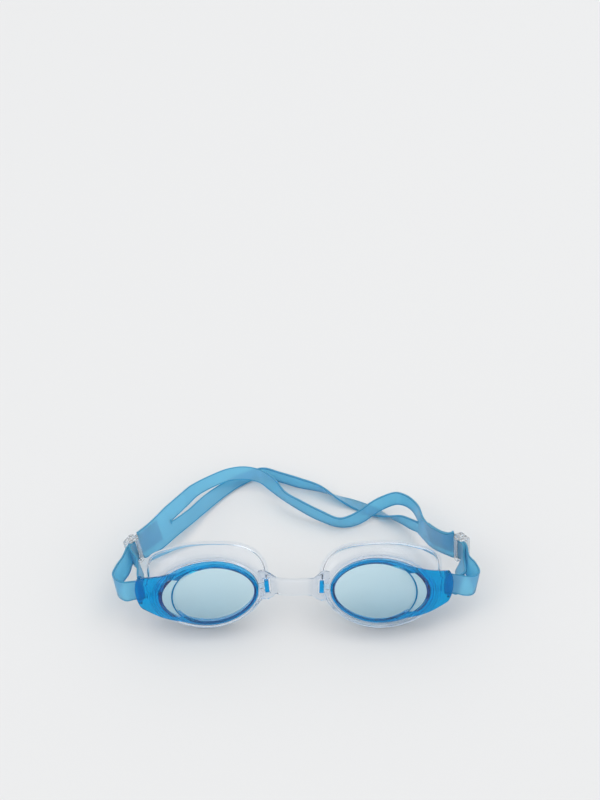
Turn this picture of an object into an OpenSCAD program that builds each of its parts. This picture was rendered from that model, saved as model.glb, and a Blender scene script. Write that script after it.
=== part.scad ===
/* [Lens] */
// Half width of the flat front window, mm
window_half_width = 20.6; // [20:0.2:21.4]
// Half height of the flat front window, mm
window_half_height = 14.7; // [13.9:0.2:15.5]
// How far the sloping side window reaches past the front window, mm
side_window_reach = 6.8; // [6:0.2:7]
// Wall thickness of the moulded lens, mm
lens_wall = 1.8; // [1.4:0.1:2]
// Thickness of the flat front window, mm
window_thickness = 1.2; // [1:0.1:1.6]
// Length of the temple arm measured from the lens centre, mm
arm_reach = 36.7; // [36.5:0.1:37.5]
// Radius of the bar the strap loops round, mm
strap_bar_radius = 1.15; // [1:0.05:1.3]

/* [Gasket] */
// Flare of the face skirt past the lens wall, mm
skirt_flare = 5.8; // [5:0.2:6.4]
// Depth of the cup from the front window to the skirt lip, mm
cup_depth = 11.8; // [11:0.2:13]
// Height of the nose bridge at its middle, mm
bridge_height = 8.4; // [7:0.2:9]

/* [Strap] */
// Thickness of the silicone strap, mm
strap_thickness = 1; // [0.8:0.1:1.2]
// Height of a slide buckle, mm
buckle_height = 13.6; // [13:0.2:15]

/* [Resting attitude] */
// Backward lean of the left cup, degrees
left_lean = 27; // [25:0.5:29]
// Backward lean of the right cup, degrees
right_lean = 37.5; // [36:0.5:39]
// Temple-down roll of the left cup, degrees
left_roll = 4; // [2:0.5:6]

/* [Hidden] */
// number of points round a cup
n = 48;
// egg shape of the window: taller towards the temple
egg = 0.09;
// centre of each front window, on the resting object
left_centre = [-38.1, -3.5, 21.7];
right_centre = [39.2, -0.8, 21.5];
// wrap of both cups about the upright axis
wrap = -4;
right_roll = -1;
// middle of the nose bridge
bridge_mid = [0, 2.1, 21.6];
// middle height of the nose tab on a cup
tab_mid = 1.4;
// middle height of the arm end on a cup
arm_mid = 3.5;
// place of the strap bar: how far out, how deep behind the window
bar_reach = arm_reach - 0.6;
bar_depth = 13.3;
// constant shift that puts the origin under the middle of the object
seat = [-1.31, -47.54, -0.09];

function unit(v) = v / norm(v);
function square_to(w, d) = unit(w - (w * d) * d);

// ---- cup outline: 0 degrees is the temple, 90 the brow, 180 the nose ----
function temple(a) = pow(max(0, cos(a)), 1.6);
function outline(a, off, reach) = [
    (window_half_width + off) * cos(a) + reach * temple(a),
    (window_half_height + off) * sin(a) * (1 + egg * cos(a))];
function at(a, off, reach, y) = [outline(a, off, reach).x, y, outline(a, off, reach).y];
function ring(off, reach, y, dy) = [for (i = [0:n - 1]) let (a = 360 * i / n) at(a, off, reach, y + dy * temple(a))];
function flat(rings) = [for (r = rings, p = r) p];
function side_faces(k, j0, j1) = [for (i = [0:k - 1], s = [0, 1]) let (u = (i + 1) % k)
    s == 0 ? [j0 * k + i, j1 * k + u, j1 * k + i] : [j0 * k + i, j0 * k + u, j1 * k + u]];

// closed body from a stack of rings with flat ends
module stack(rings) {
    k = len(rings[0]);
    m = len(rings);
    sides = [for (j = [0:m - 2], f = side_faces(k, j, j + 1)) f];
    first = [for (i = [k - 1:-1:0]) i];
    last = [for (i = [0:k - 1]) (m - 1) * k + i];
    polyhedron(flat(rings), concat(sides, [first, last]), convexity = 8);
}

// closed hoop from a profile carried round a cup
module hoop(rings) {
    k = len(rings[0]);
    m = len(rings);
    sides = [for (j = [0:m - 1], f = side_faces(k, j, (j + 1) % m)) f];
    polyhedron(flat(rings), sides, convexity = 8);
}

// ---- placing a cup on the resting object ----
module right_pose() {
    translate(seat + right_centre)
        rotate([0, 0, wrap])
            rotate([-right_lean, 0, 0])
                rotate([0, right_roll, 0])
                    children();
}
module left_pose() {
    translate(seat + left_centre)
        mirror([1, 0, 0])
            rotate([0, 0, wrap])
                rotate([-left_lean, 0, 0])
                    rotate([0, left_roll, 0])
                        children();
}

// the same placing for a single point, before the constant shift
function about_x(p, a) = [p.x, p.y * cos(a) - p.z * sin(a), p.y * sin(a) + p.z * cos(a)];
function about_y(p, a) = [p.x * cos(a) + p.z * sin(a), p.y, p.z * cos(a) - p.x * sin(a)];
function about_z(p, a) = [p.x * cos(a) - p.y * sin(a), p.x * sin(a) + p.y * cos(a), p.z];
function on_right(p) = right_centre + about_z(about_x(about_y(p, right_roll), -right_lean), wrap);
function on_left(p) = let (q = about_z(about_x(about_y(p, left_roll), -left_lean), wrap)) left_centre + [-q.x, q.y, q.z];

// ---- lens: window, side window, wall, temple arm, strap bar, nose tab ----
// half of the outline, in degrees, that runs out into the arm
arm_spread = 52.5;
// half of the outline that forms the arm's upright end
arm_end = 22.5;
function mix(p, q, t) = p + (q - p) * t;
function arm_tip(t, y) = [arm_reach + 2 - 1.9 * t * t + 0.3 * t, y, arm_mid + (t < 0 ? 8.5 : 6.9) * t];
function arm_side(s, t, y, root) = mix(arm_tip(s, y), at(s * arm_spread, 0.75, side_window_reach, root), t) - [0, 0, (s < 0 ? 1.5 : 0.95) * sin(180 * t)];
function arm_point(a, y, root) = abs(a) <= arm_end ? arm_tip(a / arm_end, y)
    : arm_side(a < 0 ? -1 : 1, (abs(a) - arm_end) / (arm_spread - arm_end), y, root);
function arm_ring(off, y, arm_y, root) = [for (i = [0:n - 1]) let (a0 = 360 * i / n, a = a0 > 180 ? a0 - 360 : a0)
    abs(a) < arm_spread ? arm_point(a, arm_y, root) : at(a, off, side_window_reach, y + 2.6 * temple(a))];
module lens_shell() {
    stack([
        ring(0, 0, 0, 0),
        ring(0.65, side_window_reach, 1, 2.6),
        arm_ring(0.7, 1.6, 6.4, 2.7),
        arm_ring(0.8, 3.2, 9.3, 4.9),
        ring(0.85, side_window_reach, 3.7, 3.7),
        ring(1, side_window_reach, 5.8, 4.2),
        ring(1 - lens_wall, side_window_reach, 5.8, 4.2),
        ring(0.75 - lens_wall, side_window_reach - 0.4, window_thickness + 0.8, 2.1),
        ring(0.6 - lens_wall, 0, window_thickness, 0)]);
}
module lug(z0) {
    translate([bar_reach - 0.9, 8.3, z0])
        cube([1.8, bar_depth - 8.3, 0.9]);
}
module strap_bar() {
    translate([bar_reach, bar_depth, arm_mid - 6.2])
        cylinder(r = strap_bar_radius, h = 12.4, $fn = 32);
    lug(arm_mid + 5.3);
    lug(arm_mid - 6.2);
}
module nose_tab() {
    translate([-26.6, -0.6, tab_mid - 3])
        cube([2.2, 3.9, 6]);
    translate([-25.6, 2.4, tab_mid - 1.2])
        cube([5, 0.9, 2.4]);
}
module lens() {
    lens_shell();
    strap_bar();
    nose_tab();
}
module left_lens() {
    color([0.05, 0.45, 0.8, 0.8])
        left_pose()
            lens();
}
module right_lens() {
    color([0.05, 0.45, 0.8, 0.8])
        right_pose()
            lens();
}

// ---- gasket: collar round the lens wall, skirt and rolled lip ----
// squared upper corners of the lip
function corner(a) = a > 180 ? 0 : 3 * pow(sin(2 * a), 2) + (a > 18 && a < 58 ? 2.4 * pow(sin((a - 18) * 4.5), 2) : 0);
function lip_off(a) = skirt_flare - 0.2 * cos(a) + 0.2 * pow(cos(a), 2) + (a > 180 ? 2.35 : 2.8) * sin(a) + corner(a);
function lip_y(a) = cup_depth + 2.9 * cos(a) + 1.4 * sin(a);
function skirt_profile(a) = let (t = temple(a), f = lip_off(a), y = lip_y(a)) [
    [1.2, 4.2 + 4.1 * t],
    [2.2, 3.9 + 4.2 * t],
    [3, 4.6 + 4 * t],
    [3.3, 6.6 + 3.4 * t],
    [(2.9 + f) / 2, (7.2 + 3.2 * t + y) / 2],
    [f - 0.4, y - 1.2],
    [f, y],
    [f - 0.7, y + 1.1],
    [f - 2.2, y + 0.7],
    [1.7, 8 + 4.1 * t],
    [-0.5, 7.1 + 4.2 * t],
    [-0.5, 5.95 + 4.2 * t],
    [1.2, 5.95 + 4.2 * t]];
module gasket() {
    hoop([for (j = [0:12]) [for (i = [0:n - 1]) let (a = 360 * i / n, p = skirt_profile(a)[j])
        at(a, p.x, side_window_reach, p.y)]]);
}
module left_gasket() {
    color([0.9, 0.93, 0.95, 0.6])
        left_pose()
            gasket();
}
module right_gasket() {
    color([0.9, 0.93, 0.95, 0.6])
        right_pose()
            gasket();
}

// ---- nose bridge: one flexible web with a pocket for each nose tab ----
// upright and depth directions at the middle of the web
web_up = [0, sin(32), cos(32)];
web_in = [0, cos(32), -sin(32)];
// section corners on a cup: distance to the nose, front and back depth, lower and upper height
web_cup = [
    [-22.5, 0.1, 3.5, -5.3, 9],
    [-25.6, -0.1, 3.6, -5.7, 8.8],
    [-27.8, 0.3, 4.4, -4.7, 6.9],
    [-29.8, 0.9, 4.3, -3.7, 5.3]];
function web_left(w) = [for (c = [[w[1], w[4]], [w[2], w[4]], [w[2], w[3]], [w[1], w[3]]]) on_left([w[0], c.x, c.y])];
function web_right(w) = [for (c = [[w[1], w[4]], [w[2], w[4]], [w[2], w[3]], [w[1], w[3]]]) on_right([w[0], c.x, c.y])];
function web_mid(x, back) = let (c = bridge_mid + [x, back, 0], h = bridge_height / 2 * web_up)
    [c - web_in + h, c + web_in + h, c + web_in - h, c - web_in - h];
web = [
    for (i = [0:3]) web_left(web_cup[i]),
    web_mid(-6, 0.3),
    web_mid(0, 0),
    web_mid(6, 0.3),
    for (i = [3:-1:0]) web_right(web_cup[i])];
function web_at(i, j) = web[min(10, max(0, i))][j];
web_run = [for (i = [0:9], k = [0:4]) [for (j = [0:3])
    blend_of(web_at(i - 1, j), web_at(i, j), web_at(i + 1, j), web_at(i + 2, j), k / 5)], web[10]];
function eased(r) = [for (j = [0:3], e = [-1, 1]) let (p = r[j], q = r[(j + 4 + e) % 4]) seat + p + 0.45 * unit(q - p)];
module tab_pocket() {
    translate([-27.4, -3, tab_mid - 3.7])
        cube([3.6, 9, 7.4]);
    translate([-25.6, 1.9, tab_mid - 1.6])
        cube([5, 5, 3.2]);
}
module nose_bridge() {
    color([0.9, 0.93, 0.95, 0.6])
        difference() {
            stack([for (r = web_run) eased(r)]);
            left_pose() tab_pocket();
            right_pose() tab_pocket();
        }
}

// ---- strap: stations are [lower edge, upper edge] down each run ----
function blend_of(a, b, c, d, t) =
    0.5 * (2 * b + t * (c - a) + t * t * (2 * a - 5 * b + 4 * c - d) + t * t * t * (3 * b - a - 3 * c + d));
function edge_run(s, e, steps) = let (m = len(s)) [for (i = [0:m - 2], k = [0:steps - 1])
    blend_of(s[max(0, i - 1)][e], s[i][e], s[i + 1][e], s[min(m - 1, i + 2)][e], k / steps), s[m - 1][e]];
function run_of(s, steps = 3) = let (lo = edge_run(s, 0, steps), hi = edge_run(s, 1, steps))
    [for (i = [0:len(lo) - 1]) [lo[i], hi[i]]];
module ribbon(s, thick = strap_thickness) {
    m = len(s);
    stack([for (i = [0:m - 1]) let (
        a = s[max(0, i - 1)],
        b = s[min(m - 1, i + 1)],
        lo = s[i][0],
        hi = s[i][1],
        face = unit(cross(b[0] + b[1] - a[0] - a[1], hi - lo)) * thick / 2)
        [seat + lo - face, seat + lo + face, seat + hi + face, seat + hi - face]]);
}
// the part of a station between two fractions of its width
function part(s, f, g) = [mix(s[0], s[1], f), mix(s[0], s[1], g)];
function between(s, i, j, t) = [mix(s[i][0], s[j][0], t), mix(s[i][1], s[j][1], t)];
// a station from its middle and its width vector
function st(c, w) = [c - w / 2, c + w / 2];

// stations of a tail round its bar, in the cup's own axes
bar_round = [[3.6, -2.1], [0.5, -2], [-1.4, -1.45], [-2, 0], [-1.4, 1.5], [0.3, 2.35]];
function by_left_bar(k) = let (x = bar_reach + bar_round[k].x, y = bar_depth + bar_round[k].y)
    [on_left([x, y, arm_mid - 4.8]), on_left([x, y, arm_mid + 4.8])];
function by_right_bar(k) = let (x = bar_reach + bar_round[k].x, y = bar_depth + bar_round[k].y)
    [on_right([x, y, arm_mid - 4.8]), on_right([x, y, arm_mid + 4.8])];

// slide buckles: middle, run of the strap through it, upright of the strap
left_buckle_at = [-78.8, 31.6, 18.3];
left_run = unit([0.35, 0.9, -0.2]);
left_up = square_to([-0.26, 0.19, 0.94], left_run);
left_out = cross(left_up, left_run);
right_buckle_at = [82.8, 31.5, 19.3];
right_run = unit([-0.4, 0.88, -0.25]);
right_up = square_to([0, 0.15, 1], right_run);
right_out = cross(right_run, right_up);

// how far each layer lies from the middle of the buckle slot
layer = 0.65;
left_wide = run_of([
    st(left_buckle_at + 4.3 * left_run - layer * left_out, 15 * left_up),
    [[-68, 41.3, 8], [-73, 51, 19]],
    [[-60.5, 52.3, 6.8], [-66.4, 62.2, 18.4]]]);
right_wide = run_of([
    [[64, 59.5, 3.6], [65.3, 57.5, 18.2]],
    [[67, 52.4, 5.2], [66.5, 51, 20]],
    [[69.7, 45.8, 7], [69, 44.8, 22]],
    [[73, 40.8, 8.6], [72, 40.3, 23.6]],
    [[77, 36.4, 10.2], [76.2, 36, 25.2]],
    st(right_buckle_at + 4.3 * right_run - layer * right_out, 15 * right_up)]);
left_end = left_wide[len(left_wide) - 1];
front_band = run_of([
    part(left_end, 0.53, 0.98),
    part([[-52, 65.5, 4.5], [-58, 76, 16.3]], 0.57, 1),
    [[-50.8, 80.5, 9], [-54.4, 82.5, 14.7]],
    [[-41.7, 89.3, 8], [-44.3, 92.5, 13]],
    [[-33, 95.4, 6.5], [-34, 100, 11.5]],
    [[-25, 97, 5.5], [-25, 102, 10.7]],
    [[-18, 95.7, 4.5], [-17, 100, 9.8]],
    [[-13.5, 91.5, 4], [-10, 93, 9.7]],
    [[-7.4, 85.7, 3.5], [-4.7, 83.5, 9.6]],
    [[1.6, 77.7, 3], [3.2, 76.7, 9.7]],
    [[12, 71, 1.5], [13.6, 70.6, 8.3]],
    [[24, 66.3, 0.6], [24, 65.5, 7.5]],
    [[30.3, 66.3, 1], [29, 67, 8]],
    [[36.6, 68.8, 1.9], [34.4, 70.8, 8.5]],
    [[42.4, 72.7, 3.6], [39.7, 75.1, 9.6]],
    [[47.5, 75.8, 4.6], [45, 77.9, 10.9]],
    [[54, 76.8, 6.6], [53.3, 79.5, 13]],
    [[58, 74.8, 7.6], [58.4, 75.6, 14.4]],
    [[61.5, 70, 8.8], [63, 69, 15.4]],
    [[64, 63, 9.8], [65.3, 60, 16.6]],
    part(right_wide[0], 0.53, 0.98)]);
rear_band = run_of([
    part(left_end, 0.02, 0.47),
    part([[-52, 65.5, 4.5], [-58, 76, 16.3]], 0, 0.44),
    [[-44, 78.5, 2], [-47.8, 83.5, 6.4]],
    [[-35.6, 89.9, 1], [-39.3, 94, 5]],
    [[-27, 98.5, 0.6], [-29.5, 103.5, 3.4]],
    [[-17, 104, 0.7], [-17, 105, 7]],
    [[-7.5, 101, 0.6], [-7.5, 101, 7.4]],
    [[3.2, 96.5, 0.6], [3.2, 96.2, 7.4]],
    [[13.8, 93.7, 0.6], [13.8, 91, 6.8]],
    [[24.4, 89, 0.7], [24.3, 83, 3.8]],
    [[32, 86.5, 0.6], [31.5, 79.5, 1.2]],
    [[42.7, 80.5, 0.6], [41.5, 74, 1.4]],
    [[50.4, 73.5, 0.6], [49.5, 69, 5.5]],
    [[56, 68.5, 1.2], [55.6, 67, 7.8]],
    [[60.3, 63.7, 2], [60.3, 63.5, 8.9]],
    part(right_wide[0], 0.02, 0.47)]);
left_tail = run_of([
        [[-67.3, 48.1, 9], [-70.5, 53.9, 16.2]],
        [[-71.8, 42, 10.6], [-74.6, 47.4, 18.2]],
        st(left_buckle_at + 4.4 * left_run + layer * left_out, 10 * left_up),
        st(left_buckle_at + layer * left_out, 10 * left_up),
        st(left_buckle_at - 6.5 * left_run + layer * left_out, 10 * left_up),
        [[-82, 18.5, 13.7], [-84.8, 22, 22.7]],
        [[-84.6, 13.5, 13], [-87.2, 18, 21.6]],
        [[-86.4, 6.4, 12.5], [-89, 11.8, 20.6]],
        [[-84.8, 3, 12.8], [-87.2, 8.2, 21.1]],
        [[-81.8, 0.8, 13], [-84, 6, 21.3]],
        for (k = [0:5]) by_left_bar(k),
        [[-75, 13.5, 10.6], [-77.2, 17.8, 19.8]],
        [[-75.2, 21, 11.6], [-78.2, 23, 21.2]],
        st(left_buckle_at - 6.5 * left_run - layer * left_out, 10 * left_up),
        st(left_buckle_at - layer * left_out, 10 * left_up)]);
right_tail = run_of([
        [[69, 49.5, 8.7], [68.3, 50.3, 18.7]],
        [[75, 40.2, 11.8], [74.4, 41, 21.8]],
        st(right_buckle_at + 4.4 * right_run + layer * right_out, 10 * right_up),
        st(right_buckle_at + layer * right_out, 10 * right_up),
        st(right_buckle_at - 6.5 * right_run + layer * right_out, 10 * right_up),
        [[85.8, 19, 14], [86.9, 23, 22.9]],
        [[88, 14, 13.4], [90, 18.8, 21.9]],
        [[89.5, 8.4, 12.5], [91.6, 13.6, 20.7]],
        [[87.6, 5.3, 12.8], [89.2, 10.8, 20.9]],
        [[84, 4.2, 13.4], [84.8, 10, 21.4]],
        for (k = [0:5]) by_right_bar(k),
        [[80.3, 6.9, 11.4], [81.3, 12, 19.8]],
        [[82, 10.9, 11], [84.4, 14, 20.2]],
        [[81.5, 17.5, 11.2], [85, 18.6, 20.6]],
        [[81.4, 23.2, 12], [84.6, 23.2, 21.6]],
        st(right_buckle_at - 6.5 * right_run - layer * right_out, 10 * right_up),
        st(right_buckle_at - layer * right_out, 10 * right_up)]);
left_join = part(between(left_wide, 0, 1, 0.4), 0.17, 0.83);
right_join = part(between(right_wide, len(right_wide) - 1, len(right_wide) - 2, 0.4), 0.17, 0.83);
module band(s) {
    m = len(left_wide);
    first = between(left_wide, m - 1, m - 2, 0.5);
    last = between(right_wide, 0, 1, 0.5);
    ribbon(concat([s == 0 ? part(first, 0.53, 0.98) : part(first, 0.02, 0.47)],
        s == 0 ? front_band : rear_band,
        [s == 0 ? part(last, 0.53, 0.98) : part(last, 0.02, 0.47)]));
}
module strap() {
    color([0.42, 0.7, 0.87, 0.85]) {
        ribbon(left_wide, strap_thickness + 0.2);
        ribbon(right_wide, strap_thickness + 0.2);
        band(0);
        band(1);
        ribbon(concat(left_tail, [left_join]));
        ribbon(concat(right_tail, [right_join]));
    }
}

// ---- slide buckle: sleeve round the doubled tail with grip ribs outside ----
module buckle() {
    difference() {
        union() {
            translate([-3.5, -1, -buckle_height / 2])
                cube([7, 4.8, buckle_height]);
            translate([-1.6, -2.1, -buckle_height / 2])
                cube([3.2, 1.4, buckle_height]);
            for (x = [-2.4, 0, 2.4])
                translate([x - 0.5, 3.7, -buckle_height / 2 + 0.8])
                    cube([1, 0.9, buckle_height - 1.6]);
        }
        translate([-4, -1.5, -5.4])
            cube([8, 3, 10.8]);
        for (x = [-2.35, 1.15])
            translate([x, 1, -4.9])
                cube([1.2, 5, 9.8]);
    }
}
module set_on(c, d, o, u) {
    p = seat + c;
    multmatrix([
        [d.x, o.x, u.x, p.x],
        [d.y, o.y, u.y, p.y],
        [d.z, o.z, u.z, p.z],
        [0, 0, 0, 1]])
        children();
}
module left_buckle() {
    color([0.92, 0.94, 0.96, 0.6])
        set_on(left_buckle_at, left_run, left_out, left_up)
            buckle();
}
module right_buckle() {
    color([0.92, 0.94, 0.96, 0.6])
        set_on(right_buckle_at, -right_run, right_out, right_up)
            buckle();
}

left_gasket();
right_gasket();
nose_bridge();
left_lens();
right_lens();
strap();
left_buckle();
right_buckle();
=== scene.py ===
import bpy, bmesh, math
import numpy as np
from mathutils import Matrix


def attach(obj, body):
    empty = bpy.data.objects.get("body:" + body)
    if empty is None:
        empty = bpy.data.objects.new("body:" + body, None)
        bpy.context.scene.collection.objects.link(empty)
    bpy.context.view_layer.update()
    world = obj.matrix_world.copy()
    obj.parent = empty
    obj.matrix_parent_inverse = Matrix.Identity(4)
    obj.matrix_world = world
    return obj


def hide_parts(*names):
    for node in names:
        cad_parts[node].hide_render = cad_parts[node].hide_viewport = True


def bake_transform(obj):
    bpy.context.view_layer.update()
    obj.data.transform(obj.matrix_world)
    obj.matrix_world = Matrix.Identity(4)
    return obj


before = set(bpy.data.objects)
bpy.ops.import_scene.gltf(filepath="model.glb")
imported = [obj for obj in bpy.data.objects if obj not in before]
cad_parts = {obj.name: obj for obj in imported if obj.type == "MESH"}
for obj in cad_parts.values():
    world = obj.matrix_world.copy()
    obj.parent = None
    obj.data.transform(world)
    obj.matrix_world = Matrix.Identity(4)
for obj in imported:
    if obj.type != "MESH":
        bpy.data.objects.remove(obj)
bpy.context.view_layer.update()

MM = 0.001
SEAT = np.array([-1.31, -47.54, -0.09])


# ---------------------------------------------------------------- helpers
def unit(v):
    v = np.asarray(v, float)
    return v / np.linalg.norm(v)


def mesh_object(name, verts, faces, smooth=True):
    me = bpy.data.meshes.new(name)
    me.from_pydata([tuple(map(float, np.asarray(v) * MM)) for v in verts], [], faces)
    me.validate()
    bm = bmesh.new()
    bm.from_mesh(me)
    bmesh.ops.recalc_face_normals(bm, faces=bm.faces)
    bm.to_mesh(me)
    bm.free()
    ob = bpy.data.objects.new(name, me)
    bpy.context.scene.collection.objects.link(ob)
    for p in me.polygons:
        p.use_smooth = smooth
    return ob


def stack_faces(k, m, loop=False):
    """Quads between m rings of k points; loop joins the last ring to the first."""
    out = []
    for j in range(m if loop else m - 1):
        a, b = j * k, ((j + 1) % m) * k
        for i in range(k):
            u = (i + 1) % k
            out.append((a + i, b + i, b + u, a + u))
    return out


def apply_modifiers(ob):
    bpy.context.view_layer.update()
    dg = bpy.context.evaluated_depsgraph_get()
    me = bpy.data.meshes.new_from_object(ob.evaluated_get(dg))
    ob.modifiers.clear()
    old, ob.data = ob.data, me
    bpy.data.meshes.remove(old)
    return ob


def combine(ob, other, how):
    m = ob.modifiers.new("join", "BOOLEAN")
    m.operation, m.object, m.solver = how, other, "EXACT"
    apply_modifiers(ob)
    bpy.data.objects.remove(other, do_unlink=True)
    return ob


def box(name, lo, hi, bevel=0.3, pose=None):
    """A block with rounded edges between two corners, in mm, in the pose's own axes."""
    bm = bmesh.new()
    bmesh.ops.create_cube(bm, size=1)
    lo, hi = np.array(lo, float), np.array(hi, float)
    for v in bm.verts:
        v.co = (lo + hi) / 2 + np.array(v.co) * (hi - lo)
    if bevel:
        bmesh.ops.bevel(bm, geom=list(bm.edges), offset=bevel, segments=3, profile=0.6, affect="EDGES")
    co = [np.array(v.co) for v in bm.verts]
    bm.verts.index_update()
    faces = [tuple(v.index for v in f.verts) for f in bm.faces]
    bm.free()
    if pose:
        co = [pose(c) for c in co]
    return mesh_object(name, co, faces)


def rod(name, a, b, r, pose=None, seg=32):
    """A round bar with rounded ends from a to b."""
    a, b = np.array(a, float), np.array(b, float)
    d = unit(b - a)
    x = unit(np.cross(d, [0.3, 1, 0.1]))
    y = np.cross(d, x)
    # width and depth of the rounded end, as shares of the radius
    dome = [(0.05, -0.999), (0.35, -0.93), (0.7, -0.7), (0.93, -0.35), (1, 0)]
    inset = [d * r * 0.4 * (depth + 1) for width, depth in dome]
    centres = [a + v for v in inset] + [b - v for v in inset[::-1]]
    widths = [width * r for width, depth in dome]
    turns = [2 * math.pi * i / seg for i in range(seg)]
    verts = [c + w * (x * math.cos(t) + y * math.sin(t))
             for c, w in zip(centres, widths + widths[::-1]) for t in turns]
    m = len(centres)
    faces = stack_faces(seg, m) + [tuple(range(seg))[::-1], tuple(range((m - 1) * seg, m * seg))]
    if pose:
        verts = [pose(v) for v in verts]
    return mesh_object(name, verts, faces)


def paint(ob, *materials):
    ob.data.materials.clear()
    for m in materials:
        ob.data.materials.append(m)


def sharpen(ob, angle=35):
    """Flat facets keep their crisp edges while curved walls stay smooth."""
    bm = bmesh.new()
    bm.from_mesh(ob.data)
    for e in bm.edges:
        e.smooth = not (len(e.link_faces) == 2 and e.calc_face_angle(0) > math.radians(angle))
    bm.to_mesh(ob.data)
    bm.free()
    return ob


# ---------------------------------------------------------------- materials
def principled(name, rough, ior, transmission, color, density=0, absorb=None):
    m = bpy.data.materials.new(name)
    m.use_nodes = True
    nt = m.node_tree
    b = nt.nodes["Principled BSDF"]
    b.inputs["Base Color"].default_value = (*color, 1)
    b.inputs["Roughness"].default_value = rough
    b.inputs["IOR"].default_value = ior
    b.inputs["Transmission Weight"].default_value = transmission
    if absorb:
        v = nt.nodes.new("ShaderNodeVolumeAbsorption")
        v.inputs["Color"].default_value = (*absorb, 1)
        v.inputs["Density"].default_value = density
        nt.links.new(v.outputs[0], nt.nodes["Material Output"].inputs["Volume"])
    return m, nt, b


def add_bump(nt, b, scale, strength, distance=0.0002, detail=3, stretch=(1, 1, 1)):
    tc = nt.nodes.new("ShaderNodeTexCoord")
    mp = nt.nodes.new("ShaderNodeMapping")
    mp.inputs["Scale"].default_value = stretch
    n = nt.nodes.new("ShaderNodeTexNoise")
    n.inputs["Scale"].default_value = scale
    n.inputs["Detail"].default_value = detail
    bu = nt.nodes.new("ShaderNodeBump")
    bu.inputs["Strength"].default_value = strength
    bu.inputs["Distance"].default_value = distance
    nt.links.new(tc.outputs["Object"], mp.inputs[0])
    nt.links.new(mp.outputs[0], n.inputs["Vector"])
    nt.links.new(n.outputs["Fac"], bu.inputs["Height"])
    nt.links.new(bu.outputs[0], b.inputs["Normal"])
    return n


def rough_from(nt, b, noise, lo, hi):
    mr = nt.nodes.new("ShaderNodeMapRange")
    mr.inputs["To Min"].default_value = lo
    mr.inputs["To Max"].default_value = hi
    nt.links.new(noise.outputs["Fac"], mr.inputs["Value"])
    nt.links.new(mr.outputs[0], b.inputs["Roughness"])


def moulded(name, rough, ior, transmission, color, volume, grain, relief, gloss):
    """A tinted moulding: volume is (density, colour), gloss the roughness between fine grain."""
    m, nt, b = principled(name, rough, ior, transmission, color, *volume)
    rough_from(nt, b, add_bump(nt, b, grain, relief), *gloss)
    return m


LENS_TINT, SILICONE_TINT = (0.0, 0.83, 0.957), (0.0, 0.8, 0.967)
lens_mat = moulded(
    "tinted_window", 0.02, 1.52, 1.0, (1.0, 0.965, 1.0), (300, LENS_TINT), 90, 0.03, (0.01, 0.05))
# deeper tint of the walls and the arm; the same material also paints a shade line along the side window's
# crease
wall_and_crease_shade_mat = moulded(
    "tinted_wall_and_crease_shade", 0.02, 1.5, 0.88, (0.003, 0.55, 0.96), (300, LENS_TINT), 90, 0.06, (0.01, 0.06))
wall_and_crease_shade_mat.node_tree.nodes["Principled BSDF"].inputs["Specular Tint"].default_value = (0.4, 0.78, 1, 1)
clear_mat = moulded(
    "clear_silicone", 0.05, 1.43, 1.0, (0.98, 0.99, 1), (100, (0.6, 0.7, 0.84)), 140, 0.05, (0.02, 0.07))
strap_mat = moulded(
    "blue_silicone", 0.3, 1.41, 0.65, (0.33, 0.77, 0.96), (900, SILICONE_TINT), 220, 0.08, (0.25, 0.4))
# darker copy of the strap silicone, used as painted shade along the strap's edges
strap_edge_shade_mat = moulded(
    "blue_silicone_painted_edge_shade", 0.3, 1.41, 0.5, (0.1, 0.52, 0.78), (900, SILICONE_TINT), 220, 0.08, (0.25, 0.4))
buckle_mat = moulded(
    "clear_plastic", 0.05, 1.45, 0.82, (0.97, 0.985, 1), (30, (0.7, 0.82, 0.9)), 160, 0.04, (0.02, 0.06))


# ---------------------------------------------------------------- cups
# sizes in mm, in the cup's own axes: x to the temple, y back to the face, z up; the same as in the CAD
HALF_W, HALF_H, EGG, REACH, WALL, WINDOW = 20.6, 14.7, 0.09, 6.8, 1.8, 1.2
ARM_REACH, ARM_MID, ARM_UP, ARM_DOWN = 36.7, 3.5, 6.9, 8.5
BAR_R, BAR_REACH, BAR_DEPTH, BAR_HALF = 1.15, 36.1, 13.3, 6.2
LUG_FRONT, LUG_THICK = 8.3, 0.9
TAB_MID, TAB_HALF, TAB_WEB_HALF, TAB_BACK = 1.4, 3, 1.2, 3.3
FLARE, DEPTH = 5.8, 11.8


def rot(axis, deg):
    return np.array(Matrix.Rotation(math.radians(deg), 3, axis))


WRAP, LEFT_LEAN, RIGHT_LEAN, LEFT_ROLL, RIGHT_ROLL = -4, 27, 37.5, 4, -1
R_RIGHT = rot("Z", WRAP) @ rot("X", -RIGHT_LEAN) @ rot("Y", RIGHT_ROLL)
R_LEFT = rot("Z", WRAP) @ rot("X", -LEFT_LEAN) @ rot("Y", LEFT_ROLL)
# middle of the front window, turn, and mirror of each cup
RIGHT = (np.array([39.2, -0.8, 21.5]), R_RIGHT, np.array([1, 1, 1]))
LEFT = (np.array([-38.1, -3.5, 21.7]), R_LEFT, np.array([-1, 1, 1]))


def right_pose(p):
    return SEAT + RIGHT[0] + R_RIGHT @ np.asarray(p, float)


def left_pose(p):
    return SEAT + LEFT[0] + LEFT[2] * (R_LEFT @ np.asarray(p, float))


def temple(a):
    """How much a direction round the cup points at the temple, 0 to 1."""
    return max(0.0, math.cos(a)) ** 1.6


def at(a, off, reach, y):
    """Point of the egg-shaped outline at angle a: 0 is the temple, a quarter turn is the brow."""
    return np.array([(HALF_W + off) * math.cos(a) + reach * temple(a), y,
                     (HALF_H + off) * math.sin(a) * (1 + EGG * math.cos(a))])


def ring(n, off, reach, y, dy):
    return [at(2 * math.pi * i / n, off, reach, y + dy * temple(2 * math.pi * i / n)) for i in range(n)]


ARM_SPREAD, ARM_END = math.radians(52.5), math.radians(22.5)


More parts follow.
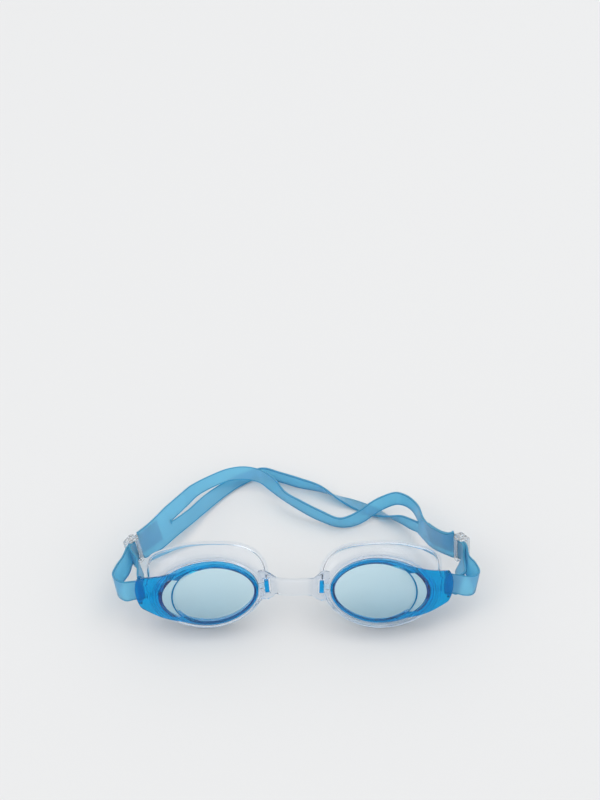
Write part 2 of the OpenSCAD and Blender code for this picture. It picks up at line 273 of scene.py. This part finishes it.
def arm_tip(t, y, inset):
    """Point of the arm's upright end, from its lower (t -1) to its upper (t 1) corner."""
    rounding = max(0, abs(t) - 0.75) / 0.25
    x = ARM_REACH + 2 - inset - 1.9 * t * t + 0.3 * t - 0.5 * rounding ** 2
    return np.array([x, y, ARM_MID + ((ARM_DOWN if t < 0 else ARM_UP) - inset) * t])


def arm_point(a, y, root, inset):
    if abs(a) <= ARM_END:
        return arm_tip(a / ARM_END, y, inset)
    s = -1 if a < 0 else 1
    t = (abs(a) - ARM_END) / (ARM_SPREAD - ARM_END)
    p, q = arm_tip(s, y, inset), at(s * ARM_SPREAD, 0.75, REACH, root)
    sag = 1.5 if s < 0 else 0.95
    return p + (q - p) * t - np.array([0, 0, sag * math.sin(math.pi * t)])


def arm_ring(n, off, y, arm_y, root, inset=0.0):
    out = []
    for i in range(n):
        a = 2 * math.pi * i / n
        a = a - 2 * math.pi if a > math.pi else a
        out.append(arm_point(a, arm_y, root, inset) if abs(a) < ARM_SPREAD - 1e-6
                   else at(a, off, REACH, y + 2.6 * temple(a)))
    return out


def reach_at(off, reach):
    """Distance from the cup's middle to an outline, for a direction seen from the front."""
    pts = [at(math.radians(i), off, reach, 0) for i in range(-180, 181)]
    ang, rad = [math.atan2(p[2], p[0]) for p in pts], [math.hypot(p[0], p[2]) for p in pts]
    ang[0], ang[-1] = -math.pi, math.pi
    return lambda a: float(np.interp(a, ang, rad))


def lens(name, pose, side):
    n = 192
    rings = [
        ring(n, -0.35, 0, 0.0, 0),
        ring(n, -0.12, 0.05, 0.05, 0.03),
        ring(n, 0.15, 0.6, 0.25, 0.45),
        ring(n, 0.5, REACH - 0.35, 0.78, 2.4),
        ring(n, 0.65, REACH, 1.0, 2.6),
        arm_ring(n, 0.7, 1.5, 6.4, 2.7, 0.35),
        arm_ring(n, 0.73, 1.7, 6.8, 3.0),
        arm_ring(n, 0.79, 3.05, 8.9, 4.6),
        arm_ring(n, 0.8, 3.2, 9.3, 4.9, 0.35),
        ring(n, 0.85, REACH, 3.7, 3.7),
        ring(n, 1.0, REACH, 5.6, 4.2),
        ring(n, 0.8, REACH, 5.8, 4.2),
        ring(n, 1.2 - WALL, REACH, 5.8, 4.2),
        ring(n, 1.0 - WALL, REACH, 5.6, 4.2),
        ring(n, 0.8 - WALL, REACH - 0.4, WINDOW + 1.1, 2.15),
        ring(n, 0.6 - WALL, REACH - 0.7, WINDOW + 0.65, 1.9),
        ring(n, 0.4 - WALL, 0.3, WINDOW + 0.12, 0.1),
        ring(n, 0.1 - WALL, 0, WINDOW, 0)]
    verts = [pose(p) for r in rings for p in r]
    m = len(rings)
    faces = stack_faces(n, m) + [tuple(range(n)), tuple(range((m - 1) * n, m * n))[::-1]]
    ob = mesh_object(name, verts, faces)
    low, high = ARM_MID - BAR_HALF, ARM_MID + BAR_HALF
    combine(ob, rod("bar", (BAR_REACH, BAR_DEPTH, low), (BAR_REACH, BAR_DEPTH, high), BAR_R, pose), "UNION")
    for z0 in (high - LUG_THICK, low):
        lo, hi = (BAR_REACH - 0.9, LUG_FRONT, z0), (BAR_REACH + 0.9, BAR_DEPTH, z0 + LUG_THICK)
        combine(ob, box("lug", lo, hi, 0.25, pose), "UNION")
    tab = box("tab", (-26.6, -0.6, TAB_MID - TAB_HALF), (-24.4, TAB_BACK, TAB_MID + TAB_HALF), 0.3, pose)
    lo, hi = (-25.6, 2.4, TAB_MID - TAB_WEB_HALF), (-20.6, TAB_BACK, TAB_MID + TAB_WEB_HALF)
    combine(tab, box("web", lo, hi, 0.2, pose), "UNION")
    combine(ob, tab, "UNION")
    # two short ridges moulded on the front of the arm
    for x in (31.0, 33.0):
        y = 3.6 + (x - 27.8) * 0.26
        mark = box("mark", (x - 0.3, y - 0.3, 0.2), (x + 0.3, y + 1.2, 3.2), 0.15, pose)
        combine(ob, mark, "UNION")
    sharpen(ob, 28)
    paint(ob, lens_mat, wall_and_crease_shade_mat)
    tint_lens(ob, side)
    return ob


def tint_lens(ob, side):
    """Pale window and tab web; deeper tint on the walls and the arm, and the same deep tint laid along the
    crease of the side window as a painted shade line.
    """
    centre, turn, flip = side
    rim, crease = reach_at(-0.75, REACH - 0.55), reach_at(0.02, 0.35)
    for p in ob.data.polygons:
        q = turn.T @ (flip * (np.array(p.center) / MM - SEAT - centre))
        lean = turn.T @ (flip * np.array(p.normal))
        a, r = math.atan2(q[2], q[0]), math.hypot(q[0], q[2])
        # the deep wall tint laid along the crease of the side window is painted shade
        crease_shade_line = q[0] > 3 and q[1] < 0.9 and abs(r - crease(a)) < 0.32
        window = abs(lean[1]) > 0.45 and r < rim(a) and not crease_shade_line
        tab_web = -24.3 < q[0] < -21.7 and 2.2 < q[1] < 3.5 and abs(q[2] - TAB_MID) < 1.3
        p.material_index = 0 if window or tab_web else 1


def chaikin(p, times):
    for _ in range(times):
        q = np.roll(p, -1, axis=0)
        p = np.stack([0.75 * p + 0.25 * q, 0.25 * p + 0.75 * q], 1).reshape(-1, 2)
    return p


def corner(a):
    """How far the lip squares out at its upper corners."""
    if math.sin(a) <= 0:
        return 0.0
    d = math.degrees(a)
    tip = 2.4 * math.sin(math.radians((d - 18) * 4.5)) ** 2 if 18 < d < 58 else 0
    return 3 * math.sin(2 * a) ** 2 + tip


def skirt_profile(a):
    """Section of collar, skirt and rolled lip at an angle: distance past the outline, and depth."""
    t, c, s = temple(a), math.cos(a), math.sin(a)
    f = FLARE - 0.2 * c + 0.2 * c * c + (2.8 if s > 0 else 2.35) * s + corner(a)
    y = DEPTH + 2.9 * c + 1.4 * s
    return np.array([
        [1.2, 4.2 + 4.1 * t], [1.4, 3.9 + 4.15 * t], [1.8, 3.9 + 4.2 * t], [2, 4.6 + 4.2 * t],
        [2.3, 4.6 + 4.2 * t], [2.5, 4 + 4.2 * t], [2.9, 4.1 + 4.1 * t],
        [3.1, 4.9 + 4 * t], [2.9, 5.6 + 3.7 * t], [3.5, 5.9 + 3.5 * t],
        [4, 6.5 + 3.4 * t], [3.9, 7.2 + 3.4 * t], [3.2, 7.3 + 3.4 * t],
        [(2.7 + f) / 2, (7.2 + 3.2 * t + y) / 2],
        [f - 0.9, y - 1.5], [f - 0.1, y - 0.9], [f, y], [f - 0.2, y + 0.9],
        [f - 0.9, y + 1.2], [f - 1.7, y + 0.8], [f - 2, y - 0.1], [1.7, 8 + 4.1 * t],
        [-0.5, 7.2 + 4.2 * t], [-0.5, 6 + 4.2 * t], [1.2, 6 + 4.2 * t]])


def skirt(name, pose):
    n = 144  # sections round the cup
    cols = []
    for i in range(n):
        a = 2 * math.pi * i / n
        cols.append([pose(at(a, o, REACH, y)) for o, y in chaikin(skirt_profile(a), 2)])
    k = len(cols[0])
    return mesh_object(name, [p for c in cols for p in c], stack_faces(k, n, loop=True))


def catmull(rows, steps):
    """Smooth curve through the rows, each stretch cut into equal steps."""
    rows = np.array(rows, float)
    m, out = len(rows), []
    for i in range(m - 1):
        a, b, c, d = rows[max(0, i - 1)], rows[i], rows[i + 1], rows[min(m - 1, i + 2)]
        for k in range(steps):
            t = k / steps
            square, cube = 2 * a - 5 * b + 4 * c - d, 3 * b - a - 3 * c + d
            out.append(0.5 * (2 * b + t * (c - a) + t * t * square + t ** 3 * cube))
    return out + [rows[-1]]


# sections of the nose web: distance to the nose, front and back depth, lower and upper height
WEB_CUP = ((-22, 0.3, 4.6, -4.9, 8.8), (-23.5, 0.1, 4.6, -5.3, 9), (-25.6, -0.1, 4.6, -5.7, 8.8),
           (-27.8, 0.3, 4.7, -4.7, 6.9), (-29.8, 0.9, 4.3, -3.7, 5.3))


def web_cup(pose, w):
    """Corners of the web's section at a cup: front top, back top, back bottom, front bottom."""
    return [pose((w[0], y, z)) for y, z in ((w[1], w[4]), (w[2], w[4]), (w[2], w[3]), (w[1], w[3]))]


BRIDGE_MID, BRIDGE_HALF, BRIDGE_LEAN = (0, 2.1, 21.6), 4.2, math.radians(32)


def web_mid(x, back):
    """Corners of the web's section near its middle, x from the centre and set back a little."""
    up = np.array([0, math.sin(BRIDGE_LEAN), math.cos(BRIDGE_LEAN)])
    into = np.array([0, up[2], -up[1]])
    c = SEAT + np.array(BRIDGE_MID) + np.array([x, back, 0])
    half = BRIDGE_HALF * up
    return [c - into + half, c + into + half, c + into - half, c - into - half]


def bridge():
    """Web between the cups: tall where it holds the tabs, thin at the middle."""
    n = 64
    rows = [web_cup(left_pose, w) for w in WEB_CUP] + [web_mid(-6, 0.3), web_mid(0, 0), web_mid(6, 0.3)]
    rows += [web_cup(right_pose, w) for w in WEB_CUP[::-1]]
    run = catmull(rows, 8)
    verts = []
    roundness = 2 / 5
    for r in run:
        mid, d, h = r.mean(0), (r[1] + r[2] - r[0] - r[3]) / 4, (r[0] + r[1] - r[2] - r[3]) / 4
        thin = 0.55 * math.exp(-((mid[0] - SEAT[0]) / 9) ** 2)
        for i in range(n):
            c, s = math.cos(2 * math.pi * i / n), math.sin(2 * math.pi * i / n)
            c, s = math.copysign(abs(c) ** roundness, c), math.copysign(abs(s) ** roundness, s)
            bead = max(math.exp(-((s - 0.85) / 0.2) ** 2), 0.6 * math.exp(-((s + 0.9) / 0.15) ** 2))
            verts.append(mid + d * c * (1 - thin * (1 - bead)) + h * s)
    m = len(run)
    faces = stack_faces(n, m) + [tuple(range(n)), tuple(range((m - 1) * n, m * n))[::-1]]
    return mesh_object("bridge", verts, faces)


def clear_frame():
    """Both skirts and the web in one piece, with a pocket for each nose tab."""
    ob = skirt("clear_frame", left_pose)
    web = bridge()
    gap, web_gap = TAB_HALF + 0.7, TAB_WEB_HALF + 0.4
    pocket = (-27.4, -3, TAB_MID - gap), (-23.8, TAB_BACK + 0.4, TAB_MID + gap)
    channel = (-25.6, 1.9, TAB_MID - web_gap), (-20, TAB_BACK + 0.4, TAB_MID + web_gap)
    for pose in (left_pose, right_pose):
        for lo, hi in (pocket, channel):
            combine(web, box("cut", lo, hi, 0.3, pose), "DIFFERENCE")
    combine(ob, web, "UNION")
    combine(ob, skirt("other", right_pose), "UNION")
    sharpen(ob, 50)
    paint(ob, clear_mat)
    return ob


# ---------------------------------------------------------------- strap
def square_to(w, d):
    w = np.asarray(w, float)
    return unit(w - (w @ d) * d)


# middle of each buckle, run of the strap through it, upright of the strap, outward side
LB, L_RUN = np.array([-78.8, 31.6, 18.3]), unit([0.35, 0.9, -0.2])
L_UP = square_to([-0.26, 0.19, 0.94], L_RUN)
L_OUT = np.cross(L_UP, L_RUN)
RB, R_RUN = np.array([82.8, 31.5, 19.3]), unit([-0.4, 0.88, -0.25])
R_UP = square_to([0, 0.15, 1], R_RUN)
R_OUT = np.cross(R_RUN, R_UP)
# the last of these is the width, in mm, of the painted shade strip along each edge of the strap
LAYER, THICK, EDGE_SHADE_STRIP = 0.65, 1.0, 0.6
WIDE_WIDTH, TAIL_WIDTH = 15, 10
WIDE_START, STRAIGHT_END = 4.3, 6.5


def st(c, w):
    """A station, as its lower and upper edge, from its middle and its width."""
    return [c - w / 2, c + w / 2]


def run_of(stations, gap=1.0):
    """Smooth ribbon through [lower, upper] edge pairs, sampled about every gap mm."""
    s = np.array(stations, float)
    c = s.mean(1)
    t = np.concatenate([[0], np.cumsum(np.linalg.norm(np.diff(c, axis=0), axis=1) ** 0.75)])
    flat = s.reshape(len(s), 6)
    m = np.zeros_like(flat)
    d = np.diff(flat, axis=0) / np.diff(t)[:, None]
    h = np.diff(t)
    # slopes at the stations, then a cubic between each pair
    m[1:-1] = (d[:-1] * h[1:, None] + d[1:] * h[:-1, None]) / (h[:-1] + h[1:])[:, None]
    m[0], m[-1] = d[0] * 1.5 - m[1] * 0.5, d[-1] * 1.5 - m[-2] * 0.5
    out = []
    for i in range(len(s) - 1):
        k = max(2, int(np.linalg.norm(c[i + 1] - c[i]) / gap))
        for j in range(k):
            u = j / k
            out.append((2 * u ** 3 - 3 * u * u + 1) * flat[i] + (u ** 3 - 2 * u * u + u) * h[i] * m[i]
                       + (3 * u * u - 2 * u ** 3) * flat[i + 1] + (u ** 3 - u * u) * h[i] * m[i + 1])
    out.append(flat[-1])
    return [np.array(p).reshape(2, 3) for p in out]


def part(s, f, g):
    """The share of a station between two fractions of its width."""
    return [s[0] + (s[1] - s[0]) * f, s[0] + (s[1] - s[0]) * g]


def round_bar(pose):
    """Stations of a tail round its bar, from the cup's own axes."""
    turn = ((3.6, -2.1), (0.5, -2), (-1.4, -1.45), (-2, 0), (-1.4, 1.5), (0.3, 2.35))
    return [[pose((BAR_REACH + x, BAR_DEPTH + y, ARM_MID + z)) - SEAT for z in (-4.8, 4.8)] for x, y in turn]


left_wide = [
    st(LB + WIDE_START * L_RUN - LAYER * L_OUT, WIDE_WIDTH * L_UP),
    [[-68, 41.3, 8], [-73, 51, 19]],
    [[-60.5, 52.3, 6.8], [-66.4, 62.2, 18.4]]]
right_wide = [
    [[64, 59.5, 3.6], [65.3, 57.5, 18.2]],
    [[67, 52.4, 5.2], [66.5, 51, 20]],
    [[69.7, 45.8, 7], [69, 44.8, 22]],
    [[73, 40.8, 8.6], [72, 40.3, 23.6]],
    [[77, 36.4, 10.2], [76.2, 36, 25.2]],
    st(RB + WIDE_START * R_RUN - LAYER * R_OUT, WIDE_WIDTH * R_UP)]
left_end, right_end = np.array(left_wide[-1], float), np.array(right_wide[0], float)
split = np.array([[-52, 65.5, 4.5], [-58, 76, 16.3]])
front_band = [
    part(left_end, 0.5, 1),
    part(split, 0.55, 1),
    [[-50.8, 80.5, 9], [-54.4, 82.5, 14.7]],
    [[-41.7, 89.3, 8], [-44.3, 92.5, 13]],
    [[-33, 95.4, 6.5], [-34, 100, 11.5]],
    [[-25, 97, 5.5], [-25, 102, 10.7]],
    [[-18, 95.7, 4.5], [-17, 100, 9.8]],
    [[-13.5, 91.5, 4], [-10, 93, 9.7]],
    [[-7.4, 85.7, 3.5], [-4.7, 83.5, 9.6]],
    [[1.6, 77.7, 3], [3.2, 76.7, 9.7]],
    [[12, 71, 1.5], [13.6, 70.6, 8.3]],
    [[24, 66.3, 0.6], [24, 65.5, 7.5]],
    [[30.3, 66.3, 1], [29, 67, 8]],
    [[36.6, 68.8, 1.9], [34.4, 70.8, 8.5]],
    [[42.4, 72.7, 3.6], [39.7, 75.1, 9.6]],
    [[47.5, 75.8, 4.6], [45, 77.9, 10.9]],
    [[54, 76.8, 6.6], [53.3, 79.5, 13]],
    [[58, 74.8, 7.6], [58.4, 75.6, 14.4]],
    [[61.5, 70, 8.8], [63, 69, 15.4]],
    part(right_end, 0.5, 1)]
rear_band = [
    part(left_end, 0, 0.5),
    part(split, 0, 0.44),
    [[-44, 78.5, 2], [-47.8, 83.5, 6.4]],
    [[-35.6, 89.9, 1], [-39.3, 94, 5]],
    [[-27, 98.5, 0.6], [-29.5, 103.5, 3.4]],
    [[-17, 104, 0.7], [-17, 105, 7]],
    [[-7.5, 101, 0.6], [-7.5, 101, 7.4]],
    [[3.2, 96.5, 0.6], [3.2, 96.2, 7.4]],
    [[13.8, 93.7, 0.6], [13.8, 91, 6.8]],
    [[24.4, 89, 0.7], [24.3, 83, 3.8]],
    [[32, 86.5, 0.6], [31.5, 79.5, 1.2]],
    [[42.7, 80.5, 0.6], [41.5, 74, 1.4]],
    [[50.4, 73.5, 0.6], [49.5, 69, 5.5]],
    [[56, 68.5, 1.2], [55.6, 67, 7.8]],
    [[60.3, 63.7, 2], [60.3, 63.5, 8.9]],
    part(right_end, 0, 0.5)]
left_tail = [
    [[-67.3, 48.1, 9], [-70.5, 53.9, 16.2]],
    [[-71.8, 42, 10.6], [-74.6, 47.4, 18.2]],
    st(LB + 4.4 * L_RUN + LAYER * L_OUT, TAIL_WIDTH * L_UP),
    st(LB + LAYER * L_OUT, TAIL_WIDTH * L_UP),
    st(LB - STRAIGHT_END * L_RUN + LAYER * L_OUT, TAIL_WIDTH * L_UP),
    [[-82, 18.5, 13.7], [-84.8, 22, 22.7]],
    [[-84.6, 13.5, 13], [-87.2, 18, 21.6]],
    [[-86.4, 6.4, 12.5], [-89, 11.8, 20.6]],
    [[-84.8, 3, 12.8], [-87.2, 8.2, 21.1]],
    [[-81.8, 0.8, 13], [-84, 6, 21.3]],
    *round_bar(left_pose),
    [[-75, 13.5, 10.6], [-77.2, 17.8, 19.8]],
    [[-75.2, 21, 11.6], [-78.2, 23, 21.2]],
    st(LB - STRAIGHT_END * L_RUN - LAYER * L_OUT, TAIL_WIDTH * L_UP),
    st(LB - LAYER * L_OUT, TAIL_WIDTH * L_UP),
    st(LB + 3.2 * L_RUN - LAYER * L_OUT, TAIL_WIDTH * L_UP)]
right_tail = [
    [[69, 49.5, 8.7], [68.3, 50.3, 18.7]],
    [[75, 40.2, 11.8], [74.4, 41, 21.8]],
    st(RB + 4.4 * R_RUN + LAYER * R_OUT, TAIL_WIDTH * R_UP),
    st(RB + LAYER * R_OUT, TAIL_WIDTH * R_UP),
    st(RB - STRAIGHT_END * R_RUN + LAYER * R_OUT, TAIL_WIDTH * R_UP),
    [[85.8, 19, 14], [86.9, 23, 22.9]],
    [[88, 14, 13.4], [90, 18.8, 21.9]],
    [[89.5, 8.4, 12.5], [91.6, 13.6, 20.7]],
    [[87.6, 5.3, 12.8], [89.2, 10.8, 20.9]],
    [[84, 4.2, 13.4], [84.8, 10, 21.4]],
    *round_bar(right_pose),
    [[80.3, 6.9, 11.4], [81.3, 12, 19.8]],
    [[82, 10.9, 11], [84.4, 14, 20.2]],
    [[81.5, 17.5, 11.2], [85, 18.6, 20.6]],
    [[81.4, 23.2, 12], [84.6, 23.2, 21.6]],
    st(RB - STRAIGHT_END * R_RUN - LAYER * R_OUT, TAIL_WIDTH * R_UP),
    st(RB - LAYER * R_OUT, TAIL_WIDTH * R_UP),
    st(RB + 3.2 * R_RUN - LAYER * R_OUT, TAIL_WIDTH * R_UP)]


def strap():
    """One ribbon from tail end to tail end, slit along its middle to make the two bands."""
    joined_a = run_of(left_tail) + run_of(left_wide)
    joined_b = run_of(right_wide) + run_of(right_tail)[::-1]
    upper, lower = run_of(front_band), run_of(rear_band)
    cols = 12
    verts, faces, edge = [], [], []

    def row(s, a, b):
        """Points across a station, with a narrow strip along each edge for the painted edge shade."""
        base = len(verts)
        lo, hi = s
        strip = EDGE_SHADE_STRIP / np.linalg.norm(hi - lo)
        inner = [strip + (1 - 2 * strip) * (i - a - 1) / (b - a - 2) for i in range(a + 1, b)]
        verts.extend(lo + (hi - lo) * f for f in [0, *inner, 1])
        return list(range(base, base + b - a + 1))

    def skin(rows):
        for p, q in zip(rows, rows[1:]):
            faces.extend((p[i], p[i + 1], q[i + 1], q[i]) for i in range(len(p) - 1))
            # the outermost faces on each side are marked for the painted edge shade
            edge.extend(i in (0, len(p) - 2) for i in range(len(p) - 1))

    rows_a = [row(s, 0, cols) for s in joined_a]
    rows_b = [row(s, 0, cols) for s in joined_b]
    skin(rows_a)
    skin(rows_b)
    half = cols // 2
    up = [rows_a[-1][half:]] + [row(s, half, cols) for s in upper[1:-1]] + [rows_b[0][half:]]
    lo = [rows_a[-1][:half + 1]] + [row(s, 0, half) for s in lower[1:-1]] + [rows_b[0][:half + 1]]
    skin(up)
    skin(lo)
    ob = mesh_object("head_strap", [SEAT + v for v in verts], faces)
    paint(ob, strap_mat, strap_edge_shade_mat)
    # the strips along both edges take the darker material: painted shade
    for p, in_edge_shade in zip(ob.data.polygons, edge):
        p.material_index = 1 if in_edge_shade else 0
    # the solidified rim faces take the same painted edge shade
    m = ob.modifiers.new("thick", "SOLIDIFY")
    m.thickness, m.offset, m.use_even_offset, m.material_offset_rim = THICK * MM, 0, True, 1
    m = ob.modifiers.new("round", "BEVEL")
    m.width, m.segments, m.limit_method, m.angle_limit = 0.28 * MM, 3, "ANGLE", math.radians(50)
    apply_modifiers(ob)
    for p in ob.data.polygons:
        p.use_smooth = True
    return ob


# ---------------------------------------------------------------- buckles
BUCKLE_HALF, SLOT_HALF = 6.8, 5.4


def buckle(name, middle, x, y, z):
    """Sleeve round the doubled tail, with an inner plate, three grip ribs and two windows."""
    def pose(p):
        return SEAT + middle + p[0] * x + p[1] * y + p[2] * z

    h = BUCKLE_HALF
    ob = box(name, (-3.5, -1, -h), (3.5, 3.8, h), 0.6, pose)
    combine(ob, box("inner", (-1.6, -2.1, -h), (1.6, 0, h), 0.25, pose), "UNION")
    for i in (-2.4, 0, 2.4):
        combine(ob, box("rib", (i - 0.5, 3.2, 0.8 - h), (i + 0.5, 4.6, h - 0.8), 0.35, pose), "UNION")
    combine(ob, box("slot", (-4.5, -1.5, -SLOT_HALF), (4.5, 1.5, SLOT_HALF), 0, pose), "DIFFERENCE")
    for i in (-1.2, 1.2):
        lo, hi = (i - 0.55, 1, 0.5 - SLOT_HALF), (i + 0.55, 6, SLOT_HALF - 0.5)
        combine(ob, box("window", lo, hi, 0.2, pose), "DIFFERENCE")
    sharpen(ob, 40)
    paint(ob, buckle_mat)
    return ob


left_lens = lens("left_lens_moulding", left_pose, LEFT)
right_lens = lens("right_lens_moulding", right_pose, RIGHT)
body = clear_frame()
band = strap()
lbuckle = buckle("left_slide_buckle", LB, L_RUN, L_OUT, L_UP)
rbuckle = buckle("right_slide_buckle", RB, -R_RUN, R_OUT, R_UP)

for ob, node, where, slot in (
        (left_lens, "left_lens", "left_side", "tinted_lens"),
        (right_lens, "right_lens", "right_side", "tinted_lens"),
        (lbuckle, "left_buckle", "left_buckle_body", "clear_buckle"),
        (rbuckle, "right_buckle", "right_buckle_body", "clear_buckle")):
    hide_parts(node)
    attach(ob, where)
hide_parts("left_gasket", "nose_bridge", "right_gasket")
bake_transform(body)
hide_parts("strap")
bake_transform(band)

# ---------------------------------------------------------------- studio
bm = bmesh.new()
bmesh.ops.create_grid(bm, x_segments=1, y_segments=1, size=6)
me = bpy.data.meshes.new("floor")
bm.to_mesh(me)
bm.free()
floor = bpy.data.objects.new("floor", me)
bpy.context.scene.collection.objects.link(floor)
fm = bpy.data.materials.new("pale_floor")
fm.use_nodes = True
fb = fm.node_tree.nodes["Principled BSDF"]
fb.inputs["Base Color"].default_value = (0.78, 0.785, 0.79, 1)
fb.inputs["Roughness"].default_value = 0.6
fb.inputs["Specular IOR Level"].default_value = 0.2
me.materials.append(fm)

scene = bpy.context.scene
world = bpy.data.worlds.new("studio")
scene.world = world
world.use_nodes = True
wn = world.node_tree
bg = wn.nodes["Background"]
tc = wn.nodes.new("ShaderNodeTexCoord")
sep = wn.nodes.new("ShaderNodeSeparateXYZ")
ramp = wn.nodes.new("ShaderNodeValToRGB")
ramp.color_ramp.elements[0].position, ramp.color_ramp.elements[0].color = 0.0, (0.68, 0.7, 0.73, 1)
ramp.color_ramp.elements[1].position, ramp.color_ramp.elements[1].color = 0.35, (0.96, 0.96, 0.96, 1)
wn.links.new(tc.outputs["Generated"], sep.inputs[0])
wn.links.new(sep.outputs["Z"], ramp.inputs[0])
wn.links.new(ramp.outputs[0], bg.inputs["Color"])
bg.inputs["Strength"].default_value = 1.02


def area(name, where, aim, size, power, color=(1, 1, 1)):
    li = bpy.data.lights.new(name, "AREA")
    li.shape, li.size, li.energy, li.color = "DISK", size, power, color
    ob = bpy.data.objects.new(name, li)
    scene.collection.objects.link(ob)
    ob.location = where
    d = Matrix.Translation(where).to_translation() - Matrix.Translation(aim).to_translation()
    ob.rotation_euler = d.to_track_quat("Z", "Y").to_euler()
    return ob


area("key", (0.8, 0.8, 1.9), (0, 0, 0), 1.6, 5)
area("fill", (-1.4, -0.8, 1.5), (0, 0, 0), 1.2, 3)

cam = bpy.data.cameras.new("camera")
cam.lens, cam.sensor_width, cam.sensor_fit = 85, 36, "AUTO"
cam.clip_start, cam.clip_end = 0.01, 50
co = bpy.data.objects.new("camera", cam)
scene.collection.objects.link(co)
co.location = (0.0019, -0.693, 0.684)
co.rotation_euler = (math.radians(50), 0, 0)
scene.camera = co
scene.cycles.max_bounces = 24
scene.cycles.transmission_bounces = 24
scene.cycles.transparent_max_bounces = 16
scene.view_settings.view_transform = "Standard"
